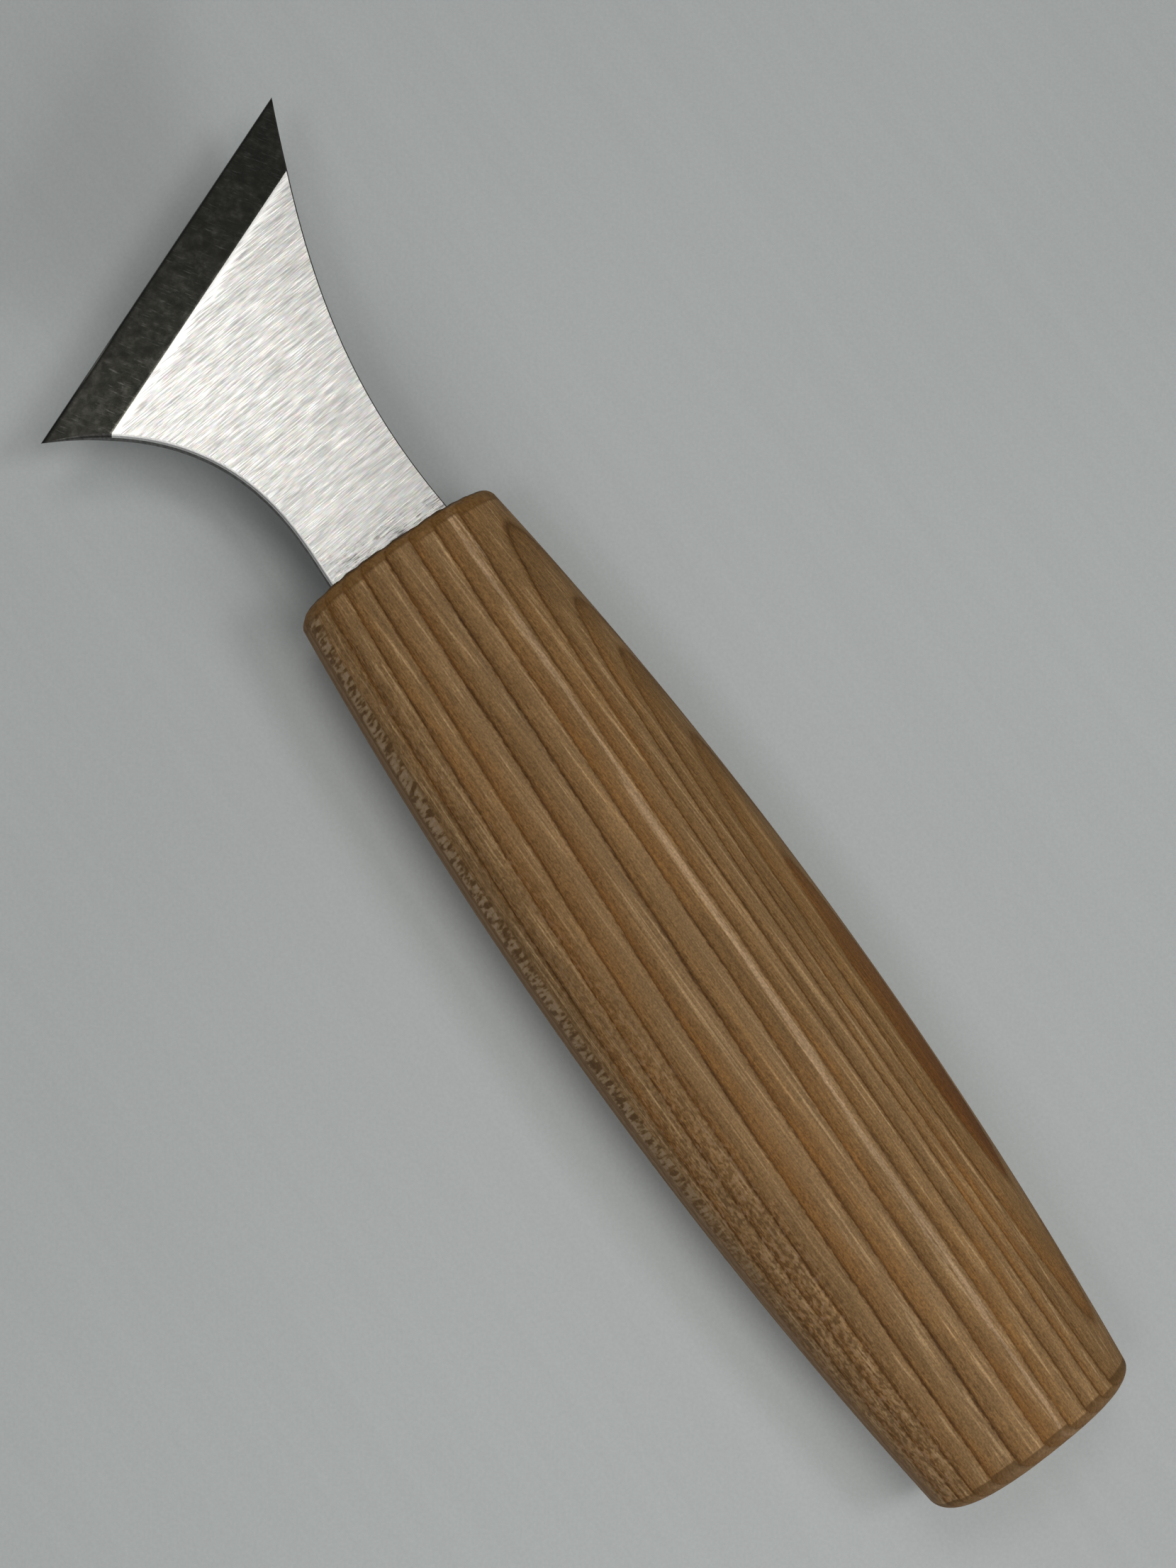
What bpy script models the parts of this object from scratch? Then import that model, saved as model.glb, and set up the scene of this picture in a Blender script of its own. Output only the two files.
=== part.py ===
"""Skew-edged fishtail carving knife: blade with hidden tang, tang adhesive and a one-piece ash handle.

Layout while drawing: the middle of the handle's front face is at (0, 0, 0). +X runs forward to the
cutting edge, +Y to the near tip's side and +Z up through the blade's thickness. As each piece is
made it is moved by one shared amount, so that the finished knife lies on z = 0 with its box
centred on the origin.
"""
import math

import bmesh
import bpy
from mathutils import Vector

MM = 0.001

# Handle: a straight barrel, widest in the middle, with an oval section.
HANDLE_LENGTH = 120.0
HANDLE_HALF_WIDTH_MIDDLE = 16.3
HANDLE_HALF_WIDTH_END = 12.8
HANDLE_HALF_THICKNESS_MIDDLE = 11.6
HANDLE_HALF_THICKNESS_END = 9.6
HANDLE_SECTION_POWER = 2.4
FRONT_ROUNDING_INWARD = 2.5
FRONT_ROUNDING_ALONG = 1.3
BUTT_ROUNDING_INWARD = 3.0
BUTT_ROUNDING_ALONG = 1.8
HANDLE_RINGS = 28
ROUNDING_STEPS = 6

# Blind slot in the handle's front face for the tang.
SLOT_HALF_WIDTH = 9.0
SLOT_HALF_HEIGHT = 1.9
SLOT_CORNER_RADIUS = 0.8
SLOT_DEPTH = 66.0

# How finely the handle's and the adhesive's closed sections are divided.
CORNER_STEPS = 4
HANDLE_LONG_STEPS = 13
ADHESIVE_LONG_STEPS = 3

# Blade: flat stock with the same bevel ground on both sides.
STOCK_THICKNESS = 2.0
TIP_FAR = (50.5, -19.5)
TIP_NEAR = (31.8, 24.5)
BEVEL_WIDTH = 6.2
FAR_SIDE_START = (0.0, -8.0)
FAR_SIDE_BEND_1 = (18.7, -6.4)
FAR_SIDE_BEND_2 = (32.1, -10.8)
NEAR_SIDE_START = (0.0, 7.8)
NEAR_SIDE_BEND_1 = (6.1, 7.9)
NEAR_SIDE_BEND_2 = (22.2, 4.1)
SIDE_STEPS = 24
BEVEL_STEPS = 6

# Tang: ground a little thinner than the blade, tapering to a blunt point.
TANG_THICKNESS = 1.8
TANG_STEP_FORWARD = 0.2
TANG_HALF_WIDTH_FRONT = 7.8
TANG_HALF_WIDTH_REAR = 4.5
TANG_STRAIGHT_LENGTH = 58.0
TANG_POINT_LENGTH = 4.0
TANG_POINT_HALF_WIDTH = 2.0
TANG_STEPS = 8

# Adhesive between tang and slot, set back a little from the mouth.
JOINT_GAP = 0.25
ADHESIVE_SETBACK = 0.4
ADHESIVE_CORNER_RADIUS = 0.1


def new_material(name, colour, roughness, metallic):
    """One Principled material."""
    material = bpy.data.materials.new(name)
    material.use_nodes = True
    shader = material.node_tree.nodes["Principled BSDF"]
    shader.inputs["Base Color"].default_value = (colour[0], colour[1], colour[2], 1.0)
    shader.inputs["Roughness"].default_value = roughness
    shader.inputs["Metallic"].default_value = metallic
    return material


def drawing_shift():
    """The move, in millimetres, that centres the finished knife's box on the origin."""
    middle_x = (TIP_FAR[0] - HANDLE_LENGTH) / 2.0
    middle_y = (TIP_FAR[1] + TIP_NEAR[1]) / 2.0
    return Vector((-middle_x, -middle_y, HANDLE_HALF_THICKNESS_MIDDLE))


def new_object(name, points, faces, material, smooth_angle):
    """A mesh object from points in millimetres, with its faces turned outward."""
    shift = drawing_shift()
    placed = [(Vector(point) + shift) * MM for point in points]
    mesh = bpy.data.meshes.new(name)
    mesh.from_pydata(placed, [], faces)
    work = bmesh.new()
    work.from_mesh(mesh)
    bmesh.ops.recalc_face_normals(work, faces=work.faces)
    work.to_mesh(mesh)
    work.free()
    mesh.materials.append(material)
    mesh.shade_smooth()
    mesh.set_sharp_from_angle(angle=math.radians(smooth_angle))
    thing = bpy.data.objects.new(name, mesh)
    bpy.context.scene.collection.objects.link(thing)
    return thing


def loft(loops):
    """Points and side faces through a list of closed loops with equal counts."""
    points = []
    for loop in loops:
        points.extend(loop)
    count = len(loops[0])
    faces = []
    for ring in range(len(loops) - 1):
        near = ring * count
        far = near + count
        for index in range(count):
            after = (index + 1) % count
            faces.append((near + index, near + after, far + after, far + index))
    return points, faces


def cap(ring, count):
    """One face that closes a loop of a loft."""
    return tuple(range(ring * count, (ring + 1) * count))


def section_count(long_steps):
    """The number of points in a closed section."""
    return 4 * (1 + CORNER_STEPS + long_steps)


def oval_loop(x, half_width, half_thickness):
    """The handle's oval section at one place along it, starting on its +Y side."""
    count = section_count(HANDLE_LONG_STEPS)
    power = 2.0 / HANDLE_SECTION_POWER
    loop = []
    for index in range(count):
        turn = 2.0 * math.pi * index / count
        across = math.copysign(abs(math.cos(turn)) ** power, math.cos(turn))
        upward = math.copysign(abs(math.sin(turn)) ** power, math.sin(turn))
        loop.append((x, half_width * across, half_thickness * upward))
    return loop


def slot_loop(x, half_width, half_height, corner, long_steps):
    """A rounded rectangle starting in the middle of its +Y end."""
    flat_half_width = half_width - corner
    flat_half_height = half_height - corner
    quarter = [(half_width, 0.0)]
    for index in range(CORNER_STEPS + 1):
        turn = 0.5 * math.pi * index / CORNER_STEPS
        across = flat_half_width + corner * math.cos(turn)
        upward = flat_half_height + corner * math.sin(turn)
        quarter.append((across, upward))
    for index in range(1, long_steps):
        quarter.append((flat_half_width * (1.0 - index / long_steps), half_height))
    mirrored = [(-across, upward) for across, upward in reversed(quarter[1:])]
    half = quarter + [(0.0, half_height)] + mirrored
    opposite = [(-across, -upward) for across, upward in half]
    return [(x, across, upward) for across, upward in half + opposite]


def handle_half_sizes(x):
    """Half width and half thickness of the handle's barrel at x."""
    away = (x + HANDLE_LENGTH / 2.0) / (HANDLE_LENGTH / 2.0)
    width_drop = HANDLE_HALF_WIDTH_MIDDLE - HANDLE_HALF_WIDTH_END
    thickness_drop = HANDLE_HALF_THICKNESS_MIDDLE - HANDLE_HALF_THICKNESS_END
    half_width = HANDLE_HALF_WIDTH_MIDDLE - width_drop * away * away
    half_thickness = HANDLE_HALF_THICKNESS_MIDDLE - thickness_drop * away * away
    return half_width, half_thickness


def rounded_end_loop(x, inward):
    """A handle section drawn in all round by an amount measured across its width."""
    half_width, half_thickness = handle_half_sizes(x)
    share = (half_width - inward) / half_width
    return oval_loop(x, half_width * share, half_thickness * share)


def handle_loops():
    """Every section of the handle's outside, from the front face to the butt face."""
    loops = []
    for step in range(ROUNDING_STEPS):
        turn = 0.5 * math.pi * (1.0 - step / ROUNDING_STEPS)
        x = FRONT_ROUNDING_ALONG * (math.sin(turn) - 1.0)
        loops.append(rounded_end_loop(x, FRONT_ROUNDING_INWARD * (1.0 - math.cos(turn))))
    start = -FRONT_ROUNDING_ALONG
    finish = BUTT_ROUNDING_ALONG - HANDLE_LENGTH
    for step in range(HANDLE_RINGS + 1):
        x = start + (finish - start) * step / HANDLE_RINGS
        loops.append(rounded_end_loop(x, 0.0))
    for step in range(1, ROUNDING_STEPS + 1):
        turn = 0.5 * math.pi * step / ROUNDING_STEPS
        x = finish - BUTT_ROUNDING_ALONG * math.sin(turn)
        loops.append(rounded_end_loop(x, BUTT_ROUNDING_INWARD * (1.0 - math.cos(turn))))
    return loops


def make_handle(material):
    """The one-piece handle with its blind tang slot."""
    floor_loop = slot_loop(-SLOT_DEPTH, SLOT_HALF_WIDTH, SLOT_HALF_HEIGHT, SLOT_CORNER_RADIUS, HANDLE_LONG_STEPS)
    mouth_loop = slot_loop(0.0, SLOT_HALF_WIDTH, SLOT_HALF_HEIGHT, SLOT_CORNER_RADIUS, HANDLE_LONG_STEPS)
    loops = [floor_loop, mouth_loop] + handle_loops()
    points, faces = loft(loops)
    count = section_count(HANDLE_LONG_STEPS)
    faces.append(cap(0, count))
    faces.append(cap(len(loops) - 1, count))
    return new_object("handle", points, faces, material, 40.0)


def curve_point(start, bend_1, bend_2, finish, part):
    """A point on a side of the blade: a cubic curve from the handle to a tip."""
    rest = 1.0 - part
    weights = (rest ** 3, 3.0 * rest * rest * part, 3.0 * rest * part * part, part ** 3)
    corners = (start, bend_1, bend_2, finish)
    x = sum(weight * corner[0] for weight, corner in zip(weights, corners))
    y = sum(weight * corner[1] for weight, corner in zip(weights, corners))
    return x, y


def far_side(part):
    """The concave side that ends in the far tip."""
    return curve_point(FAR_SIDE_START, FAR_SIDE_BEND_1, FAR_SIDE_BEND_2, TIP_FAR, part)


def near_side(part):
    """The concave side that ends in the near tip."""
    return curve_point(NEAR_SIDE_START, NEAR_SIDE_BEND_1, NEAR_SIDE_BEND_2, TIP_NEAR, part)


def distance_to_edge(point):
    """How far a point of the blade's plan lies behind the straight cutting edge."""
    run_x = TIP_FAR[0] - TIP_NEAR[0]
    run_y = TIP_FAR[1] - TIP_NEAR[1]
    length = math.hypot(run_x, run_y)
    return ((TIP_FAR[1] - point[1]) * run_x - (TIP_FAR[0] - point[0]) * run_y) / length


def part_at_distance(side, distance):
    """Where along a side the cutting edge is the given distance away."""
    low = 0.0
    high = 1.0
    for _ in range(60):
        middle = 0.5 * (low + high)
        if distance_to_edge(side(middle)) > distance:
            low = middle
        else:
            high = middle
    return 0.5 * (low + high)


def blade_section(far_point, near_point, half_thickness):
    """Four corners of the blade at one pair of side points."""
    return [
        (far_point[0], far_point[1], half_thickness),
        (near_point[0], near_point[1], half_thickness),
        (near_point[0], near_point[1], -half_thickness),
        (far_point[0], far_point[1], -half_thickness),
    ]


def tang_half_width(x):
    """Half width of the tapering tang at x."""
    part = -x / TANG_STRAIGHT_LENGTH
    if part <= 1.0:
        return TANG_HALF_WIDTH_FRONT + (TANG_HALF_WIDTH_REAR - TANG_HALF_WIDTH_FRONT) * part
    past = (-x - TANG_STRAIGHT_LENGTH) / TANG_POINT_LENGTH
    return TANG_HALF_WIDTH_REAR + (TANG_POINT_HALF_WIDTH - TANG_HALF_WIDTH_REAR) * past


def tang_places():
    """Places along the tang, from its point to the handle's front face."""
    places = [-TANG_STRAIGHT_LENGTH - TANG_POINT_LENGTH]
    for step in range(TANG_STEPS, 0, -1):
        places.append(-TANG_STRAIGHT_LENGTH * step / TANG_STEPS)
    return places


def blade_sections():
    """Every four-cornered section, from the tang's point to the back of the cutting edge."""
    half_tang = TANG_THICKNESS / 2.0
    half_stock = STOCK_THICKNESS / 2.0
    sections = []
    for x in tang_places():
        half_width = tang_half_width(x)
        sections.append(blade_section((x, -half_width), (x, half_width), half_tang))
    far_step = (TANG_STEP_FORWARD, FAR_SIDE_START[1])
    near_step = (TANG_STEP_FORWARD, NEAR_SIDE_START[1])
    sections.append(blade_section(far_step, near_step, half_tang))
    sections.append(blade_section(far_step, near_step, half_stock))
    far_bevel = part_at_distance(far_side, BEVEL_WIDTH)
    near_bevel = part_at_distance(near_side, BEVEL_WIDTH)
    for step in range(1, SIDE_STEPS + 1):
        share = step / SIDE_STEPS
        sections.append(blade_section(far_side(far_bevel * share), near_side(near_bevel * share), half_stock))
    for step in range(1, BEVEL_STEPS):
        share = 1.0 - step / BEVEL_STEPS
        far_point = far_side(part_at_distance(far_side, BEVEL_WIDTH * share))
        near_point = near_side(part_at_distance(near_side, BEVEL_WIDTH * share))
        sections.append(blade_section(far_point, near_point, half_stock * share))
    return sections


def make_blade(material):
    """The blade and its tang as one piece of steel, ending in a sharp straight edge."""
    sections = blade_sections()
    points, faces = loft(sections)
    faces.append(cap(0, 4))
    last = (len(sections) - 1) * 4
    far_tip = len(points)
    near_tip = far_tip + 1
    points.append((TIP_FAR[0], TIP_FAR[1], 0.0))
    points.append((TIP_NEAR[0], TIP_NEAR[1], 0.0))
    faces.append((last, last + 1, near_tip, far_tip))
    faces.append((last + 2, last + 3, far_tip, near_tip))
    faces.append((last + 1, last + 2, near_tip))
    faces.append((last + 3, last, far_tip))
    return new_object("blade", points, faces, material, 8.0)


def make_adhesive(material):
    """The cured sleeve of adhesive that fills the slot round the tang."""
    half_width = SLOT_HALF_WIDTH - JOINT_GAP
    half_height = SLOT_HALF_HEIGHT - JOINT_GAP
    corner = SLOT_CORNER_RADIUS - JOINT_GAP
    inside_height = TANG_THICKNESS / 2.0 + JOINT_GAP
    loops = []
    loops.append(slot_loop(JOINT_GAP - SLOT_DEPTH, half_width, half_height, corner, ADHESIVE_LONG_STEPS))
    loops.append(slot_loop(-ADHESIVE_SETBACK, half_width, half_height, corner, ADHESIVE_LONG_STEPS))
    places = [-ADHESIVE_SETBACK]
    places.append(-TANG_STRAIGHT_LENGTH)
    places.append(-TANG_STRAIGHT_LENGTH - TANG_POINT_LENGTH - JOINT_GAP)
    for x in places:
        inside_width = tang_half_width(x) + JOINT_GAP
        loops.append(slot_loop(x, inside_width, inside_height, ADHESIVE_CORNER_RADIUS, ADHESIVE_LONG_STEPS))
    points, faces = loft(loops)
    count = section_count(ADHESIVE_LONG_STEPS)
    faces.append(cap(0, count))
    faces.append(cap(len(loops) - 1, count))
    return new_object("tang_adhesive", points, faces, material, 40.0)


def build():
    """Clear the scene and make the three pieces."""
    for thing in list(bpy.data.objects):
        bpy.data.objects.remove(thing, do_unlink=True)
    steel = new_material("blade_steel", (0.72, 0.72, 0.73), 0.3, 1.0)
    ash = new_material("handle_ash", (0.25, 0.15, 0.07), 0.55, 0.0)
    epoxy = new_material("cured_epoxy", (0.35, 0.24, 0.12), 0.4, 0.0)
    make_blade(steel)
    make_handle(ash)
    make_adhesive(epoxy)


build()
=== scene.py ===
"""The look of a skew-edged fishtail carving knife: bright brushed blade, dark bevels, oiled ash handle."""

import itertools
import math

import bmesh
import bpy
from mathutils import Matrix, Vector, noise


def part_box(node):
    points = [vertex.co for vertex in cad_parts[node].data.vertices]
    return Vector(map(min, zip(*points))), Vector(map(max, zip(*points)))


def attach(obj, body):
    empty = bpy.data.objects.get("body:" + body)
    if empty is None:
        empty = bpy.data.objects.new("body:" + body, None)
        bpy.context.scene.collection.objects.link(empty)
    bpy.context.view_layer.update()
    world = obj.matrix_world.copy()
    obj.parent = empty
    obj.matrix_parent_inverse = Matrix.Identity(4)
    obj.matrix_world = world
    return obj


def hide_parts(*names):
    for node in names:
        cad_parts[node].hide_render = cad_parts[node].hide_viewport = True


MM = 0.001

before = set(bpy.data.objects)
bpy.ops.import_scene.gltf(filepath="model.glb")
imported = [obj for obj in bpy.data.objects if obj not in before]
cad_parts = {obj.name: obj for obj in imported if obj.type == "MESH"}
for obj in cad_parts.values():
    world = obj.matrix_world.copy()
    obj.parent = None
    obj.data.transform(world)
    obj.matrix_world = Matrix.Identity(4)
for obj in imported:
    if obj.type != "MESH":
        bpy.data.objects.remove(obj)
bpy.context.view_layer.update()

# ---------------------------------------------------------------- where the knife is

handle_low, handle_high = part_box("handle")
FRONT_MIDDLE = Vector((
    handle_high.x,
    (handle_low.y + handle_high.y) / 2.0,
    (handle_low.z + handle_high.z) / 2.0,
))

# Handle sizes in mm, measured from the middle of its front face.
HANDLE_LENGTH = (handle_high.x - handle_low.x) / MM
HALF_WIDTH_MIDDLE = (handle_high.y - handle_low.y) / 2.0 / MM
HALF_THICKNESS_MIDDLE = (handle_high.z - handle_low.z) / 2.0 / MM
HALF_WIDTH_END = 12.8
HALF_THICKNESS_END = 9.6
SECTION_POWER = 2.4
FRONT_ROUNDING_INWARD = 2.5
FRONT_ROUNDING_ALONG = 1.3
BUTT_ROUNDING_INWARD = 3.0
BUTT_ROUNDING_ALONG = 1.8
SLOT_HALF_WIDTH = 9.0
SLOT_HALF_HEIGHT = 1.9
SLOT_CORNER_RADIUS = 0.8
SLOT_DEPTH = 66.0

# Blade sizes in mm, from the same point. Its far side lies at low Y, its near side at high Y.
STOCK_THICKNESS = 2.0
TIP_FAR = (50.5, -19.5)
TIP_NEAR = (31.8, 24.5)
BEVEL_WIDTH = 6.2
HONED_WIDTH = 0.24
HONED_THICKNESS = 0.12
FAR_SIDE = ((0.0, -8.0), (18.7, -6.4), (32.1, -10.8), TIP_FAR)
NEAR_SIDE = ((0.0, 7.8), (6.1, 7.9), (22.2, 4.1), TIP_NEAR)
FAR_EASING = 0.10
NEAR_EASING = 0.30
TANG_THICKNESS = 1.8
# The tang's (place along it, half width), from its point to the handle's mouth.
TANG_OUTLINE = ((-62.0, 2.0), (-58.0, 4.5), (-0.1, 7.7))


def place(point):
    """A point in mm from the middle of the handle's front face, as a place in the scene."""
    return FRONT_MIDDLE + Vector(point) * MM


# ---------------------------------------------------------------- colours, nodes and pieces

# Sockets of a Mix node that mixes colours: the colour underneath, and the one laid over it.
BASE = 6
TOP = 7


def colour(code):
    """An sRGB hex colour as linear RGBA."""
    linear = []
    for start in (0, 2, 4):
        value = int(code[start:start + 2], 16) / 255.0
        linear.append(value / 12.92 if value <= 0.04045 else ((value + 0.055) / 1.055) ** 2.4)
    return (*linear, 1.0)


def add_node(tree, kind, inputs=None, stops=None, **settings):
    """Add a node with its settings, fill or link its inputs, and set its colour stops if it has them.

    An input given as a node is linked to that node's first output in use.
    """
    node = tree.nodes.new(kind)
    for name, value in settings.items():
        setattr(node, name, value)
    for name, value in (inputs or {}).items():
        if isinstance(value, bpy.types.Node):
            value = next(socket for socket in value.outputs if socket.enabled)
        if isinstance(value, bpy.types.NodeSocket):
            tree.links.new(value, node.inputs[name])
        else:
            node.inputs[name].default_value = value
    if stops:
        elements = node.color_ramp.elements
        elements.remove(elements[-1])
        elements[0].position, elements[0].color = stops[0][0], colour(stops[0][1])
        for position, code in stops[1:]:
            elements.new(position).color = colour(code)
    return node


def start_material(name):
    """An empty material, with surface positions in mm from the middle of the handle's front face."""
    material = bpy.data.materials.new(name)
    material.use_nodes = True
    tree = material.node_tree
    tree.nodes.clear()
    spot = add_node(tree, "ShaderNodeTexCoord")
    metres = add_node(
        tree, "ShaderNodeVectorMath", {0: spot.outputs["Object"], 1: FRONT_MIDDLE}, operation="SUBTRACT")
    where = add_node(tree, "ShaderNodeVectorMath", {0: metres, "Scale": 1.0 / MM}, operation="SCALE")
    return material, tree, where


def finish_material(tree, shader):
    """Show the shader on the surface."""
    add_node(tree, "ShaderNodeOutputMaterial", {"Surface": shader})


def new_piece(name, points, faces, materials):
    """A mesh piece from points in mm."""
    mesh = bpy.data.meshes.new(name)
    mesh.from_pydata([place(point) for point in points], [], faces)
    for material in materials:
        mesh.materials.append(material)
    mesh.update()
    piece = bpy.data.objects.new(name, mesh)
    bpy.context.scene.collection.objects.link(piece)
    return piece


def join_loops(count, first, second):
    """Faces between two closed loops of points, given where each starts."""
    faces = []
    for index in range(count):
        after = (index + 1) % count
        faces.append((first + index, first + after, second + after, second + index))
    return faces


# ---------------------------------------------------------------- the ash's growth rings

# The rings are wide arcs. They lean over in the handle's section and run out at a small angle along it, so
# the broad face shows nearly straight lines, and the far flank long pointed figure round one closed lens.
RING_LEAN = 1.54
RING_BOW_ACROSS = 0.0373
RING_RUN_OUT = 2.56
RING_BOW_ALONG = 2.35
# How wide each year grew, in mm, from below the handle to beyond its far flank.
YEAR_WIDTHS = (3.6, 3.9, 3.2, 3.7, 3.4, 3.2, 3.4, 3.0, 4.5, 3.0, 2.45, 2.95, 3.16, 3.16, 3.47, 2.71, 2.4, 1.5,
               1.8, 1.55, 1.95, 3.0)
FIRST_YEAR_START = -46.0
RING_EDGES = tuple(itertools.accumulate(YEAR_WIDTHS, initial=FIRST_YEAR_START))
# One year has a very pale streak, this share of the way through it, and one is rusty.
PALE_YEAR = 14
PALE_STREAK_SHARE = 0.72
RUSTY_YEAR = 20
# A swelling bows the rings near the front of the far flank. All in mm.
SWELLING_DEPTH = 0.9
SWELLING_MIDDLE = -4.0
SWELLING_LENGTH = 16.0
FLANK_START = 7.0
FLANK_BLEND = 6.0
# The rings also wander a little: (depth, length along the grain, width across it, shift of the noise) in mm.
SLOW_WANDER = (0.22, 30.0, 9.0, 0.0)
QUICK_WANDER = (0.09, 6.0, 3.0, 7.0)
# Grooves worn into the soft wood on each side of a ring's edge: (depth, fading length) in mm.
GROOVE_AFTER_EDGE = (0.030, 0.26)
GROOVE_BEFORE_EDGE = (0.028, 0.12)
EARLY_WOOD_WEAR = 0.006


def half_sizes(x):
    """Half width and half thickness of the handle's barrel, in mm."""
    away = (x + HANDLE_LENGTH / 2.0) / (HANDLE_LENGTH / 2.0)
    half_width = HALF_WIDTH_MIDDLE - (HALF_WIDTH_MIDDLE - HALF_WIDTH_END) * away * away
    half_thickness = HALF_THICKNESS_MIDDLE - (HALF_THICKNESS_MIDDLE - HALF_THICKNESS_END) * away * away
    return half_width, half_thickness


def wander(x, y, z, depth, along, across, shift):
    """A small wandering of the rings, in mm."""
    return depth * noise.noise(Vector((x / along, y / across, z / across + shift)))


def across_rings(x, y, z):
    """Distance across the growth rings, in mm."""
    along = (x + HANDLE_LENGTH / 2.0) / (HANDLE_LENGTH / 2.0)
    distance = -y + RING_LEAN * (z - HALF_THICKNESS_MIDDLE) + RING_BOW_ACROSS * y * y
    distance += RING_BOW_ALONG * along * along - RING_RUN_OUT * along
    flank = min(max((-y - FLANK_START) / FLANK_BLEND, 0.0), 1.0)
    distance -= SWELLING_DEPTH * flank * math.exp(-((x - SWELLING_MIDDLE) / SWELLING_LENGTH) ** 2)
    distance += wander(x, y, z, *SLOW_WANDER)
    return distance + wander(x, y, z, *QUICK_WANDER)


def year_of(distance):
    """Which year's growth a distance falls in plus the share of it passed, and that year's width in mm."""
    for year, width in enumerate(YEAR_WIDTHS):
        if distance < RING_EDGES[year + 1]:
            return year + max(distance - RING_EDGES[year], 0.0) / width, width
    return float(len(YEAR_WIDTHS)), YEAR_WIDTHS[-1]


def groove_depth(share, width):
    """How far, in mm, the worn surface lies below its ribs: the soft, pored early wood wears into grooves."""
    depth = EARLY_WOOD_WEAR * (1.0 - share)
    for part, (deepest, fading) in ((share, GROOVE_AFTER_EDGE), (1.0 - share, GROOVE_BEFORE_EDGE)):
        depth += deepest * math.exp(-part * width / fading)
    return depth


# ---------------------------------------------------------------- handle

# Mesh steps round the section and along the barrel. One step round is 0.2 mm, finer than a groove is wide.
AROUND = 440
ALONG = 176
ROUNDING_STEPS = 11
# Where the face between the slot and the rim, and the butt face, hold extra loops of points.
FRONT_SHARES = (0.35, 0.7)
BUTT_SHARES = (0.85, 0.65, 0.45, 0.25, 0.1)
# The slot's section turns its corners between these two angles, in degrees from its width.
SLOT_CORNER_START = 30.0
SLOT_CORNER_END = 50.0
# Lengths in mm of the turned-over ends, where end grain shows and wears to this share of a full groove.
END_BAND_FRONT = 1.65
END_BAND_BUTT = 1.9
END_GRAIN_WEAR = 0.55
# Depth and spacing in mm of the cutter's marks round the front end.
FRONT_CHATTER = 0.18
CHATTER_PITCH = 1.5
# Faces that meet at more than this keep a crisp line between them.
CRISP_ANGLE = math.radians(50.0)


def oval_point(turn, half_width, half_thickness):
    """A point on the handle's oval section."""
    power = 2.0 / SECTION_POWER
    across = math.copysign(abs(math.cos(turn)) ** power, math.cos(turn))
    upward = math.copysign(abs(math.sin(turn)) ** power, math.sin(turn))
    return half_width * across, half_thickness * upward


def slot_point(turn):
    """A point on the slot's section, a rectangle with rounded corners."""
    quarter = math.degrees(math.atan2(abs(math.sin(turn)), abs(math.cos(turn))))
    corner_y = SLOT_HALF_WIDTH - SLOT_CORNER_RADIUS
    corner_z = SLOT_HALF_HEIGHT - SLOT_CORNER_RADIUS
    if quarter < SLOT_CORNER_START:
        across, upward = SLOT_HALF_WIDTH, corner_z * quarter / SLOT_CORNER_START
    elif quarter < SLOT_CORNER_END:
        bend = math.radians(90.0 * (quarter - SLOT_CORNER_START) / (SLOT_CORNER_END - SLOT_CORNER_START))
        across = corner_y + SLOT_CORNER_RADIUS * math.cos(bend)
        upward = corner_z + SLOT_CORNER_RADIUS * math.sin(bend)
    else:
        across, upward = corner_y * (90.0 - quarter) / (90.0 - SLOT_CORNER_END), SLOT_HALF_HEIGHT
    return math.copysign(across, math.cos(turn)), math.copysign(upward, math.sin(turn))


def barrel_stations():
    """(x, inward) in mm of each section of the outside, from the front face's rim to the butt face's rim."""
    stations = []
    for step in range(ROUNDING_STEPS):
        turn = 0.5 * math.pi * (1.0 - step / ROUNDING_STEPS)
        along = FRONT_ROUNDING_ALONG * (1.0 - math.sin(turn))
        stations.append((-along, FRONT_ROUNDING_INWARD * (1.0 - math.cos(turn))))
    start = -FRONT_ROUNDING_ALONG
    finish = BUTT_ROUNDING_ALONG - HANDLE_LENGTH
    for step in range(ALONG + 1):
        stations.append((start + (finish - start) * step / ALONG, 0.0))
    for step in range(1, ROUNDING_STEPS + 1):
        turn = 0.5 * math.pi * step / ROUNDING_STEPS
        along = BUTT_ROUNDING_ALONG * math.sin(turn)
        stations.append((finish - along, BUTT_ROUNDING_INWARD * (1.0 - math.cos(turn))))
    return stations


def handle_loops():
    """Every loop of points, from the slot's far end to the middle of the butt, and which loops are worn."""
    turns = [2.0 * math.pi * (index + 0.5) / AROUND for index in range(AROUND)]
    loops = []
    for x in (-SLOT_DEPTH, 0.0):
        loops.append([(x, *slot_point(turn)) for turn in turns])
    stations = barrel_stations()
    outside = []
    for x, inward in stations:
        half_width, half_thickness = half_sizes(x)
        kept = (half_width - inward) / half_width
        outside.append([(x, *oval_point(turn, half_width * kept, half_thickness * kept)) for turn in turns])
    for share in FRONT_SHARES:
        loops.append([
            tuple(inner + (outer - inner) * share for inner, outer in zip(mouth_point, rim_point))
            for mouth_point, rim_point in zip(loops[1], outside[0])
        ])
    first_worn = len(loops)
    loops.extend(outside)
    last_worn = len(loops) - 1
    for share in BUTT_SHARES:
        loops.append([(x, y * share, z * share) for x, y, z in outside[-1]])
    return loops, first_worn, last_worn


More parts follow.
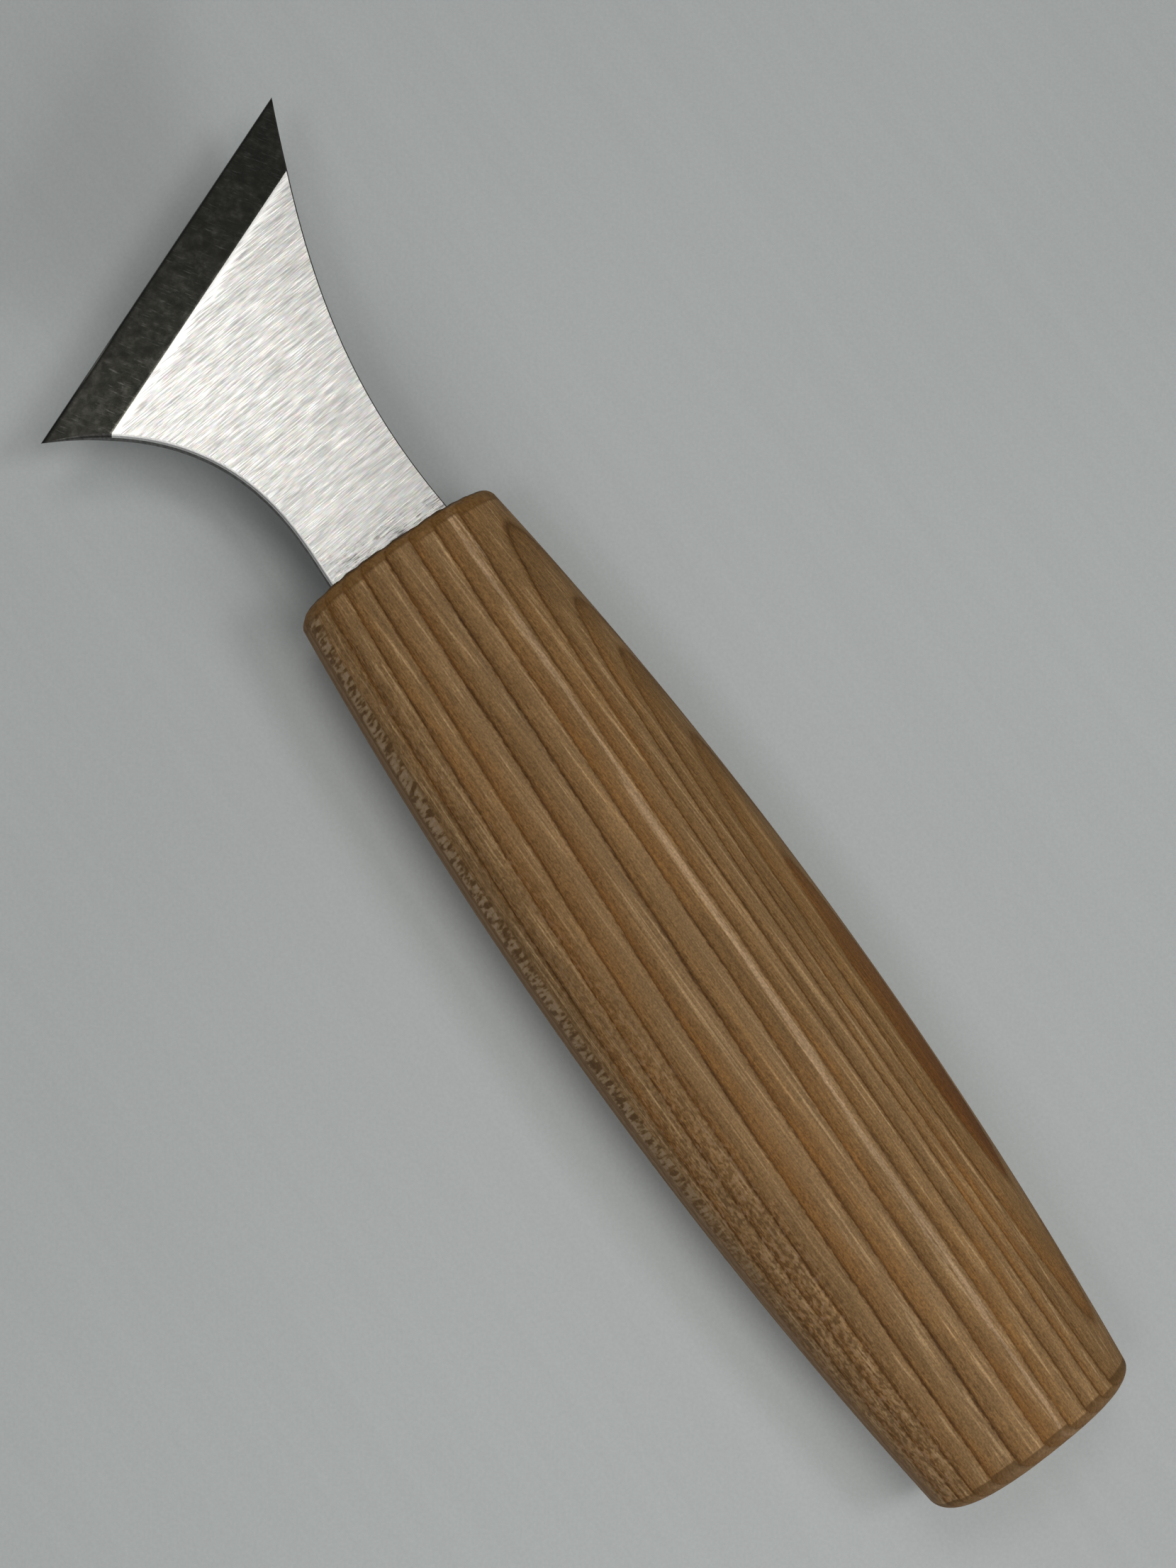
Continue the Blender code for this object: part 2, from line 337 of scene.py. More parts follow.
def make_handle(material):
    """The ash handle, its ribs and grooves cut into the mesh and its growth rings stored on its points."""
    loops, first_worn, last_worn = handle_loops()
    points = [point for loop in loops for point in loop]
    faces = [tuple(range(AROUND))]
    for index in range(len(loops) - 1):
        faces.extend(join_loops(AROUND, index * AROUND, (index + 1) * AROUND))
    faces.append(tuple(reversed(range(len(points) - AROUND, len(points)))))
    piece = new_piece("ash_handle", points, faces, [material])
    turn_outward(piece.data)

    years = []
    depths = []
    for index, point in enumerate(points):
        year, width = year_of(across_rings(*point))
        years.append(year)
        worn = first_worn <= index // AROUND <= last_worn
        end_grain = point[0] > -END_BAND_FRONT or point[0] < END_BAND_BUTT - HANDLE_LENGTH
        depth = groove_depth(year % 1.0, width) * (END_GRAIN_WEAR if end_grain else 1.0)
        if point[0] > -FRONT_ROUNDING_ALONG:
            depth += FRONT_CHATTER * (0.5 + noise.noise(Vector(point) / CHATTER_PITCH))
        depths.append(depth if worn else 0.0)
    normals = [vertex.normal.copy() for vertex in piece.data.vertices]
    for vertex, normal, depth in zip(piece.data.vertices, normals, depths):
        vertex.co -= normal * depth * MM
    piece.data.attributes.new("year", "FLOAT", "POINT").data.foreach_set("value", years)
    piece.data.shade_smooth()
    piece.data.set_sharp_from_angle(angle=CRISP_ANGLE)
    return piece


# ---------------------------------------------------------------- blade

SIDE_STEPS = 80
BEVEL_STEPS = 20
EASING_STEPS = 4
# Points that hold the flats and the sides true lie this many easings from the corner.
EASING_HOLD = 1.3
# The materials' order on the blade.
FLAT, BEVEL, HONED, SIDE, RIM = range(5)
# How many times the search for a place along a side halves its range.
HALVINGS = 50


def curve_point(corners, part):
    """A point on a cubic curve, with its heading."""
    rest = 1.0 - part
    weights = (rest ** 3, 3.0 * rest * rest * part, 3.0 * rest * part * part, part ** 3)
    slopes = (-rest * rest, rest * (rest - 2.0 * part), part * (2.0 * rest - part), part * part)
    point = sum((weight * Vector(corner) for weight, corner in zip(weights, corners)), Vector((0.0, 0.0)))
    heading = sum((slope * Vector(corner) for slope, corner in zip(slopes, corners)), Vector((0.0, 0.0)))
    return point, heading.normalized()


def distance_to_edge(point):
    """How far a point of the blade's plan lies behind the cutting edge, in mm."""
    run = Vector(TIP_FAR) - Vector(TIP_NEAR)
    back = Vector(TIP_FAR) - point
    return (back.y * run.x - back.x * run.y) / run.length


def part_at_distance(corners, distance):
    """Where along a side the cutting edge is the given distance away."""
    low, high = 0.0, 1.0
    for _ in range(HALVINGS):
        middle = 0.5 * (low + high)
        if distance_to_edge(curve_point(corners, middle)[0]) > distance:
            low = middle
        else:
            high = middle
    return 0.5 * (low + high)


def blade_section(far, near, half_thickness):
    """A closed section, its long edges eased by a few strokes of a stone. Each side is (point, inward)."""
    section = []
    for (point, inward), reverse, full_easing in ((far, False, FAR_EASING), (near, True, NEAR_EASING)):
        easing = min(full_easing, 0.5 * half_thickness)
        hold = EASING_HOLD * easing
        quarter = [(hold, half_thickness)]
        for step in range(EASING_STEPS + 1):
            turn = 0.5 * math.pi * step / EASING_STEPS
            lowered = easing * (1.0 - math.cos(turn))
            quarter.append((easing * (1.0 - math.sin(turn)), half_thickness - lowered))
        quarter.append((0.0, half_thickness - hold))
        side = quarter + [(depth, -level) for depth, level in reversed(quarter)]
        if reverse:
            side.reverse()
        section.extend((*(point + inward * depth), level) for depth, level in side)
    return section


def both_sides(part_far, part_near):
    """The far and the near side's points, each with its direction into the steel."""
    far, far_heading = curve_point(FAR_SIDE, part_far)
    near, near_heading = curve_point(NEAR_SIDE, part_near)
    return (far, Vector((-far_heading.y, far_heading.x))), (near, Vector((near_heading.y, -near_heading.x)))


def make_blade(flat_steel, bevel_steel, honed_steel, side_steel, rim_steel):
    """The blade and its tang: flats, two ground bevels, a honed edge and sheared sides."""
    sections = []
    zones = []
    half_stock = STOCK_THICKNESS / 2.0
    half_honed = HONED_THICKNESS / 2.0
    for x, half_width in TANG_OUTLINE:
        far = (Vector((x, -half_width)), Vector((0.0, 1.0)))
        near = (Vector((x, half_width)), Vector((0.0, -1.0)))
        sections.append(blade_section(far, near, TANG_THICKNESS / 2.0))
        zones.append(FLAT)
    bevel_far = part_at_distance(FAR_SIDE, BEVEL_WIDTH)
    bevel_near = part_at_distance(NEAR_SIDE, BEVEL_WIDTH)
    for step in range(SIDE_STEPS + 1):
        share = step / SIDE_STEPS
        sections.append(blade_section(*both_sides(bevel_far * share, bevel_near * share), half_stock))
        zones.append(BEVEL if step == SIDE_STEPS else FLAT)
    for step in range(1, BEVEL_STEPS + 1):
        share = step / BEVEL_STEPS
        distance = BEVEL_WIDTH + (HONED_WIDTH - BEVEL_WIDTH) * share
        sides = both_sides(part_at_distance(FAR_SIDE, distance), part_at_distance(NEAR_SIDE, distance))
        sections.append(blade_section(*sides, half_stock + (half_honed - half_stock) * share))
        zones.append(BEVEL)

    # The near side's long edges, eased by a stone, get a near-white steel: a painted highlight.
    count = len(sections[0])
    half = count // 2
    flats = (half - 1, count - 1)
    eased = EASING_STEPS + 1
    painted_highlight = (*range(half, half + eased), *range(count - 1 - eased, count - 1))
    points = [point for section in sections for point in section]
    faces = [tuple(range(count))]
    slots = [SIDE]
    for index in range(len(sections) - 1):
        faces.extend(join_loops(count, index * count, (index + 1) * count))
        edge_zone = RIM if zones[index] == FLAT else SIDE
        for step in range(count):
            slots.append(zones[index] if step in flats else edge_zone if step in painted_highlight else SIDE)
    last = len(points) - count
    far_tip = len(points)
    near_tip = far_tip + 1
    points.extend(((*TIP_FAR, 0.0), (*TIP_NEAR, 0.0)))
    faces.append((last + half - 1, last + half, near_tip, far_tip))
    faces.append((last + count - 1, last, far_tip, near_tip))
    slots.extend((HONED, HONED))
    for index in range(half - 1):
        faces.append((last + index, last + index + 1, far_tip))
        faces.append((last + half + index, last + half + index + 1, near_tip))
        slots.extend((SIDE, SIDE))

    steels = [flat_steel, bevel_steel, honed_steel, side_steel, rim_steel]
    piece = new_piece("steel_blade", points, faces, steels)
    piece.data.polygons.foreach_set("material_index", slots)
    turn_outward(piece.data)
    piece.data.shade_smooth()
    sharpen_creases(piece.data)
    return piece


def turn_outward(mesh):
    """Make every face look out of the solid."""
    work = bmesh.new()
    work.from_mesh(mesh)
    bmesh.ops.recalc_face_normals(work, faces=work.faces)
    work.to_mesh(mesh)
    work.free()


def sharpen_creases(mesh):
    """Keep the lines between flats, bevels and honed edge crisp, and the stoned long edges soft."""
    work = bmesh.new()
    work.from_mesh(mesh)
    for edge in work.edges:
        kinds = {face.material_index for face in edge.link_faces}
        crease = len(kinds) == 2 and not kinds & {SIDE, RIM}
        cutting_edge = kinds == {HONED} and edge.calc_face_angle(0.0) > math.radians(5.0)
        end_face = edge.calc_face_angle(0.0) > CRISP_ANGLE
        edge.smooth = not (crease or cutting_edge or end_face)
    work.to_mesh(mesh)
    work.free()


# ---------------------------------------------------------------- materials

# Which way the abrasive lines run in the blade's plan.
BRUSH_LINES = math.radians(-84.0)
EDGE_LINE = math.atan2(TIP_FAR[1] - TIP_NEAR[1], TIP_FAR[0] - TIP_NEAR[0])
GRIND_LINES = EDGE_LINE + math.radians(90.0)
BACK_FROM_EDGE = (math.sin(EDGE_LINE), -math.cos(EDGE_LINE), 0.0)

# Where the wood's look changes, in mm: each pair is where a change starts and where it is complete.
FAR_FLANK_Y = (-9.5, -13.0)
NEAR_FLANK_Y = (9.0, 11.0)
SPECKLED_Y = (8.8, 11.0)
LOW_FLANK_Z = (3.6, 2.2)
RUST_X = (-58.0, -84.0)
COARSE_PORES_X = (-48.0, -80.0)
RAY_LADDER_X = (-100.0, -66.0)
MOUTH_X = (-0.62, -0.30)
# The height of the ray flecks' ladder, in mm, and how ragged and how blurred the end bands' inner edges are.
RAY_LADDER_Z = 4.55
BAND_RAGGED = 0.9
BAND_BLUR = 0.08

# Where the steel's look changes, in mm. The painted highlight behind the bevel starts and is complete this
# far from the bevel's line, less its ragged edge. The scuffs start and are complete this far outside the
# wood.
HIGHLIGHT_FADE = (-1.15, -2.05)
HIGHLIGHT_RAGGED = 3.2
SCUFFED_X = (4.8, 1.2)


def ash_grain(tree, where):
    """The ash's noises, each drawn out along the grain: (length along the grain, width across it) in mm.

    Vessels are 0.1 to 0.3 mm wide and run for several mm.
    """
    grain = {}
    for name, along, across, detail in (("fibres", 10.0, 0.19, 3.0), ("pores", 0.9, 0.20, 2.0),
                                        ("silk", 34.0, 0.85, 2.0), ("threads", 40.0, 0.32, 2.0),
                                        ("patches", 22.0, 4.0, 2.0), ("fuzz", 0.28, 0.17, 3.0)):
        spot = add_node(
            tree, "ShaderNodeVectorMath", {0: where, 1: (along, across, across)}, operation="DIVIDE")
        grain[name] = add_node(tree, "ShaderNodeTexNoise", {"Vector": spot, "Scale": 1.0, "Detail": detail})
    return grain


def growth_colour(tree, year, grain, axes):
    """Each year's colours: a dark line of open pores, brown early wood, a pale strip of dense late wood.

    Also given back: the share of the year passed, how strongly pores show, and the year's random value.
    """
    jitter = add_node(tree, "ShaderNodeMath", {0: grain["pores"], 1: -0.5}, operation="ADD")
    shaken = add_node(tree, "ShaderNodeMath", {0: jitter, 1: 0.15, 2: year}, operation="MULTIPLY_ADD")
    share = add_node(tree, "ShaderNodeMath", {0: shaken}, operation="FRACT")
    brown = add_node(
        tree, "ShaderNodeValToRGB", {"Fac": share}, stops=[(0.00, "51310E"), (0.025, "5C3B15"),
        (0.065, "805B2F"), (0.12, "8C683D"), (0.40, "937147"), (0.90, "94734B"), (0.945, "8A673C"),
        (0.98, "5C3B15"), (1.00, "51310E")])

    # Some years end in a crowd of large pores and some in only a few, which leaves a fainter line.
    which = add_node(tree, "ShaderNodeMath", {0: year}, operation="FLOOR")
    chance = add_node(tree, "ShaderNodeTexWhiteNoise", {"W": which}, noise_dimensions="1D")
    draw = add_node(tree, "ShaderNodeSeparateColor", {"Color": chance.outputs["Color"]})
    line_fade = add_node(tree, "ShaderNodeMath", {0: draw.outputs["Blue"], 1: 0.45}, operation="MULTIPLY")
    softened = add_node(
        tree, "ShaderNodeMix", {0: line_fade, BASE: brown, TOP: colour("8C683C")}, data_type="RGBA")

    # The pale strip's first edge wanders along the grain.
    sway = add_node(tree, "ShaderNodeMath", {0: grain["silk"], 1: -0.5}, operation="ADD")
    swayed = add_node(tree, "ShaderNodeMath", {0: sway, 1: 0.55, 2: share}, operation="MULTIPLY_ADD")
    strip_start = add_node(
        tree, "ShaderNodeMapRange", {"Value": swayed, "From Min": 0.42, "From Max": 0.60})
    strip_end = add_node(tree, "ShaderNodeMapRange", {"Value": share, "From Min": 0.93, "From Max": 0.86})
    late = add_node(tree, "ShaderNodeMath", {0: strip_start, 1: strip_end}, operation="MULTIPLY")
    late_tint = add_node(tree, "ShaderNodeMath", {0: late, 1: 0.16}, operation="MULTIPLY")
    striped = add_node(
        tree, "ShaderNodeMix", {0: late_tint, BASE: softened, TOP: colour("AE8C61")}, data_type="RGBA")
    thread = add_node(
        tree, "ShaderNodeMapRange", {"Value": grain["threads"], "From Min": 0.55, "From Max": 0.66,
        "To Max": 0.45})
    late_thread = add_node(tree, "ShaderNodeMath", {0: thread, 1: late}, operation="MULTIPLY")
    threaded = add_node(
        tree, "ShaderNodeMix", {0: late_thread, BASE: striped, TOP: colour("C9A87C")}, data_type="RGBA")

    # Each year differs a little in tone, and two of them stand out: one with a very pale streak, one rusty.
    tone = add_node(
        tree, "ShaderNodeMapRange", {"Value": chance.outputs["Value"], "To Min": 0.94, "To Max": 1.05})
    off_streak = add_node(tree, "ShaderNodeMath", {0: swayed, 1: PALE_STREAK_SHARE}, operation="SUBTRACT")
    beside_streak = add_node(tree, "ShaderNodeMath", {0: off_streak}, operation="ABSOLUTE")
    streak = add_node(
        tree, "ShaderNodeMapRange", {"Value": beside_streak, "From Min": 0.13, "From Max": 0.07,
        "To Max": 0.62})
    pale = add_node(tree, "ShaderNodeMath", {0: year, 1: PALE_YEAR + 0.5, 2: 0.5}, operation="COMPARE")
    pale_streak = add_node(tree, "ShaderNodeMath", {0: pale, 1: streak}, operation="MULTIPLY")
    streaked = add_node(
        tree, "ShaderNodeMix", {0: pale_streak, BASE: threaded, TOP: colour("C8A680")}, data_type="RGBA")
    toned = add_node(tree, "ShaderNodeVectorMath", {0: streaked, "Scale": tone}, operation="SCALE")
    # On the far flank the knife cuts the rings at a slant, so their lines are broad and faint.
    slant = add_node(
        tree, "ShaderNodeMapRange", {"Value": axes.outputs["Y"], "From Min": FAR_FLANK_Y[0],
        "From Max": FAR_FLANK_Y[1], "To Max": 0.45})
    faded = add_node(
        tree, "ShaderNodeMix", {0: slant, BASE: toned, TOP: colour("8A6535")}, data_type="RGBA")
    rusty = add_node(tree, "ShaderNodeMath", {0: year, 1: RUSTY_YEAR + 0.5, 2: 0.5}, operation="COMPARE")
    to_butt = add_node(
        tree, "ShaderNodeMapRange", {"Value": axes.outputs["X"], "From Min": RUST_X[0],
        "From Max": RUST_X[1], "To Min": 0.45, "To Max": 0.92})
    rust = add_node(tree, "ShaderNodeMath", {0: rusty, 1: to_butt}, operation="MULTIPLY")
    reddened = add_node(
        tree, "ShaderNodeMix", {0: rust, BASE: faded, TOP: colour("6F4116")}, data_type="RGBA")

    # Pores and warm mottling fill the early wood.
    early = add_node(
        tree, "ShaderNodeMapRange", {"Value": share, "From Min": 0.10, "From Max": 0.62, "To Min": 1.0,
        "To Max": 0.12})
    pore = add_node(
        tree, "ShaderNodeMapRange", {"Value": grain["pores"], "From Min": 0.50, "From Max": 0.66})
    pore_share = add_node(tree, "ShaderNodeMath", {0: pore, 1: early}, operation="MULTIPLY")
    pore_tint = add_node(tree, "ShaderNodeMath", {0: pore_share, 1: 0.55}, operation="MULTIPLY")
    pored = add_node(
        tree, "ShaderNodeMix", {0: pore_tint, BASE: reddened, TOP: colour("603D15")}, data_type="RGBA")
    warm = add_node(
        tree, "ShaderNodeMapRange", {"Value": grain["patches"], "From Min": 0.42, "From Max": 0.68,
        "To Max": 0.60})
    warm_share = add_node(tree, "ShaderNodeMath", {0: warm, 1: early}, operation="MULTIPLY")
    warmed = add_node(
        tree, "ShaderNodeMix", {0: warm_share, BASE: pored, TOP: colour("8C5E2C")}, data_type="RGBA")

    # Silky streaks along the grain, and the sanded surface's fine fuzz.
    wood = warmed
    for name, low, high in (("fibres", 0.78, 1.22), ("silk", 0.88, 1.12), ("threads", 0.84, 1.16),
                            ("patches", 0.92, 1.08), ("fuzz", 0.68, 1.32)):
        strength = add_node(
            tree, "ShaderNodeMapRange", {"Value": grain[name], "From Min": 0.25, "From Max": 0.75,
            "To Min": low, "To Max": high})
        wood = add_node(tree, "ShaderNodeVectorMath", {0: wood, "Scale": strength}, operation="SCALE")
    return wood, share, pore_share, chance.outputs["Value"]


def ray_ladder(tree, wood, where, grain, axes):
    """Rays on the near flank show as pale rungs 0.5 to 1.5 mm apart, with coarse pores towards the butt."""
    near = add_node(
        tree, "ShaderNodeMapRange", {"Value": axes.outputs["Y"], "From Min": NEAR_FLANK_Y[0],
        "From Max": NEAR_FLANK_Y[1]})
    shoulder = add_node(
        tree, "ShaderNodeMapRange", {"Value": axes.outputs["Y"], "From Min": SPECKLED_Y[0],
        "From Max": SPECKLED_Y[1]})
    speck_spot = add_node(
        tree, "ShaderNodeVectorMath", {0: where, 1: (0.70, 0.42, 0.42)}, operation="DIVIDE")
    specks = add_node(tree, "ShaderNodeTexNoise", {"Vector": speck_spot, "Scale": 1.0, "Detail": 1.0})
    speck = add_node(tree, "ShaderNodeMapRange", {"Value": specks, "From Min": 0.50, "From Max": 0.60})
    to_butt = add_node(
        tree, "ShaderNodeMapRange", {"Value": axes.outputs["X"], "From Min": COARSE_PORES_X[0],
        "From Max": COARSE_PORES_X[1], "To Min": 0.26, "To Max": 0.50})
    speck_near = add_node(tree, "ShaderNodeMath", {0: speck, 1: shoulder}, operation="MULTIPLY")
    speck_share = add_node(tree, "ShaderNodeMath", {0: speck_near, 1: to_butt}, operation="MULTIPLY")
    specked = add_node(
        tree, "ShaderNodeMix", {0: speck_share, BASE: wood, TOP: colour("523516")}, data_type="RGBA")
    blotch = add_node(
        tree, "ShaderNodeMapRange", {"Value": specks, "From Min": 0.45, "From Max": 0.35, "To Max": 0.6})
    blotch_share = add_node(tree, "ShaderNodeMath", {0: blotch, 1: shoulder}, operation="MULTIPLY")
    blotch_tint = add_node(tree, "ShaderNodeMath", {0: blotch_share, 1: to_butt}, operation="MULTIPLY")
    blotched = add_node(
        tree, "ShaderNodeMix", {0: blotch_tint, BASE: specked, TOP: colour("B8977A")}, data_type="RGBA")

    # The lower half of the near flank is mixed towards a paler, greyer brown: a painted reflection of the
    # pale floor.
    low_flank = add_node(
        tree, "ShaderNodeMapRange", {"Value": axes.outputs["Z"], "From Min": LOW_FLANK_Z[0],
        "From Max": LOW_FLANK_Z[1], "To Max": 0.55})
    low_near = add_node(tree, "ShaderNodeMath", {0: low_flank, 1: near}, operation="MULTIPLY")
    painted_floor_reflection = add_node(
        tree, "ShaderNodeMix", {0: low_near, BASE: blotched, TOP: colour("8B6B49")}, data_type="RGBA")

    rung_spot = add_node(tree, "ShaderNodeVectorMath", {0: where, 1: (0.50, 1.9, 1.9)}, operation="DIVIDE")
    rungs = add_node(tree, "ShaderNodeTexNoise", {"Vector": rung_spot, "Scale": 1.0, "Detail": 2.0})
    rung_tone = add_node(
        tree, "ShaderNodeValToRGB", {"Fac": rungs}, stops=[(0.40, "6A4A26"), (0.47, "8A6840"),
        (0.54, "B2946F"), (0.70, "BFA384")])
    sway = add_node(
        tree, "ShaderNodeMath", {0: grain["silk"], 1: 0.9, 2: -RAY_LADDER_Z}, operation="MULTIPLY_ADD")
    band_height = add_node(tree, "ShaderNodeMath", {0: axes.outputs["Z"], 1: sway}, operation="ADD")
    band_off = add_node(tree, "ShaderNodeMath", {0: band_height}, operation="ABSOLUTE")
    ragged = add_node(tree, "ShaderNodeMath", {0: rungs, 1: 1.2, 2: band_off}, operation="MULTIPLY_ADD")
    band = add_node(tree, "ShaderNodeMapRange", {"Value": ragged, "From Min": 1.95, "From Max": 1.60})
    fade = add_node(
        tree, "ShaderNodeMapRange", {"Value": axes.outputs["X"], "From Min": RAY_LADDER_X[0],
        "From Max": RAY_LADDER_X[1], "To Max": 0.80})
    flank = add_node(tree, "ShaderNodeMath", {0: near, 1: fade}, operation="MULTIPLY")
    band_share = add_node(tree, "ShaderNodeMath", {0: band, 1: flank}, operation="MULTIPLY")
    return add_node(tree, "ShaderNodeMix", {0: band_share, BASE: painted_floor_reflection, TOP: rung_tone}, data_type="RGBA")


def end_bands(tree, laddered, where, axes, chance):
    """End grain soaks up oil: brown bands on the turned-over ends, which the pale strips stop short of."""
    ragged = add_node(
        tree, "ShaderNodeMath", {0: chance, 1: BAND_RAGGED, 2: axes.outputs["X"]}, operation="MULTIPLY_ADD")
    front_line = BAND_RAGGED / 2.0 - END_BAND_FRONT
    front_end = add_node(
        tree, "ShaderNodeMapRange", {"Value": ragged, "From Min": front_line - BAND_BLUR,
        "From Max": front_line + BAND_BLUR})
    butt_line = END_BAND_BUTT + BAND_RAGGED / 2.0 - HANDLE_LENGTH
    butt_end = add_node(
        tree, "ShaderNodeMapRange", {"Value": ragged, "From Min": butt_line + BAND_BLUR,
        "From Max": butt_line - BAND_BLUR})
    end_share = add_node(tree, "ShaderNodeMath", {0: front_end, 1: butt_end}, operation="MAXIMUM")
    end_spot = add_node(tree, "ShaderNodeVectorMath", {0: where, 1: (0.5, 0.28, 0.28)}, operation="DIVIDE")
    end_dots = add_node(tree, "ShaderNodeTexNoise", {"Vector": end_spot, "Scale": 1.0, "Detail": 3.0})
    end_tone = add_node(
        tree, "ShaderNodeValToRGB", {"Fac": end_dots}, stops=[(0.30, "674416"), (0.50, "825C2C"),
        (0.70, "8F693A")])
    darkening = add_node(tree, "ShaderNodeMapRange", {"Value": butt_end, "To Min": 1.0, "To Max": 0.50})
    end_brown = add_node(tree, "ShaderNodeVectorMath", {0: end_tone, "Scale": darkening}, operation="SCALE")
    end_amount = add_node(tree, "ShaderNodeMath", {0: end_share, 1: 0.76}, operation="MULTIPLY")
    banded = add_node(
        tree, "ShaderNodeMix", {0: end_amount, BASE: laddered, TOP: end_brown}, data_type="RGBA")
    off_line = add_node(tree, "ShaderNodeMath", {0: ragged, 1: -front_line}, operation="ADD")
    beside_line = add_node(tree, "ShaderNodeMath", {0: off_line}, operation="ABSOLUTE")
    outline = add_node(
        tree, "ShaderNodeMapRange", {"Value": beside_line, "From Min": 0.22, "From Max": 0.05,
        "To Max": 0.35})
    outlined = add_node(
        tree, "ShaderNodeMix", {0: outline, BASE: banded, TOP: colour("5A3A14")}, data_type="RGBA")
    # A dark line painted on the wood's front face where it meets the blade: painted shade in the joint's gap.
    painted_mouth_shade = add_node(
        tree, "ShaderNodeMapRange", {"Value": axes.outputs["X"], "From Min": MOUTH_X[0],
        "From Max": MOUTH_X[1], "To Max": 0.80})
    return add_node(
        tree, "ShaderNodeMix", {0: painted_mouth_shade, BASE: outlined, TOP: colour("3A2610")}, data_type="RGBA")


def oiled_ash():
    """Oiled ash: each year runs from a line of open pores through brown early wood to pale late wood.

    The eye sees straight corduroy lines, pale silky strips broken into threads, a brown band where the ends
    are turned over, and ray flecks like ladder rungs on the near flank.
    """
    material, tree, where = start_material("oiled_ash")
    year = add_node(tree, "ShaderNodeAttribute", attribute_name="year").outputs["Fac"]
    axes = add_node(tree, "ShaderNodeSeparateXYZ", {"Vector": where})
    grain = ash_grain(tree, where)
    wood, share, pore_share, chance = growth_colour(tree, year, grain, axes)
    laddered = ray_ladder(tree, wood, where, grain, axes)
    banded = end_bands(tree, laddered, where, axes, chance)

    rough = add_node(tree, "ShaderNodeMapRange", {"Value": share, "To Min": 0.78, "To Max": 0.60})
    fuzzy = add_node(
        tree, "ShaderNodeMath", {0: grain["fuzz"], 1: 0.8, 2: grain["fibres"]}, operation="MULTIPLY_ADD")
    height = add_node(tree, "ShaderNodeMath", {0: pore_share, 1: -1.2, 2: fuzzy}, operation="MULTIPLY_ADD")
    bump = add_node(tree, "ShaderNodeBump", {"Height": height, "Strength": 0.7, "Distance": 0.00006})
    shader = add_node(
        tree, "ShaderNodeBsdfPrincipled", {"Base Color": banded, "Roughness": rough, "IOR": 1.47,
        "Specular IOR Level": 0.25, "Normal": bump})
    finish_material(tree, shader)
    return material


def grit_lines(tree, where, turn, length, width):
    """Noise drawn out into streaks of the given length and width in mm, all running one way."""
    turned = add_node(
        tree, "ShaderNodeVectorRotate", {"Vector": where, "Angle": -turn}, rotation_type="Z_AXIS")
    spot = add_node(tree, "ShaderNodeVectorMath", {0: turned, 1: (length, width, 1.0)}, operation="DIVIDE")
    return add_node(
        tree, "ShaderNodeTexNoise", {"Vector": spot, "Scale": 1.0, "Detail": 3.0, "Roughness": 0.6})


